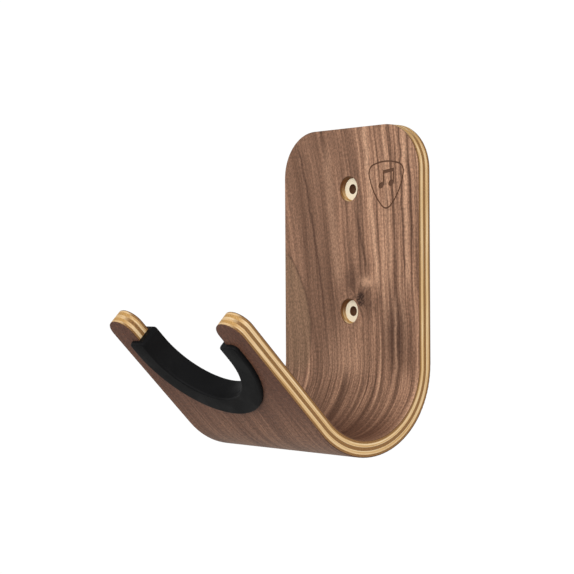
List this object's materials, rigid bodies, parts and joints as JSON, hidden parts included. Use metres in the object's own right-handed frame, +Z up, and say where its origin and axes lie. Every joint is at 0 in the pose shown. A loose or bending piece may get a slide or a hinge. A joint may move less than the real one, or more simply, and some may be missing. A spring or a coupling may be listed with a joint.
{
  "type": "wall guitar hanger",
  "caption": "Bent plywood wall hook: a flat plate turns through a round bend into a rising arm, whose notch is lined with rubber to hold a guitar by its neck.",
  "frame": {"origin": "on the wall face, midway between the two screw holes", "axes": "+Z up the wall, +Y into the wall, +X to the right as seen from the room"},
  "size_m": [0.085, 0.1088, 0.14],
  "materials": {
    "face_veneer": "walnut, satin lacquer",
    "cross_ply": "ply seen on its brown cross-grain edge, satin lacquer",
    "long_ply": "cream long-grain ply, satin lacquer",
    "pad_rubber": "matt black rubber"
  },
  "bodies": {
    "root": {"front_face_veneer": "face_veneer", "core_ply_1_cross": "cross_ply", "core_ply_2_long": "long_ply", "core_ply_3_cross": "cross_ply", "core_ply_4_long": "long_ply", "core_ply_5_cross": "cross_ply", "back_face_veneer": "face_veneer", "cradle_pad": "pad_rubber"}
  },
  "joints": []
}
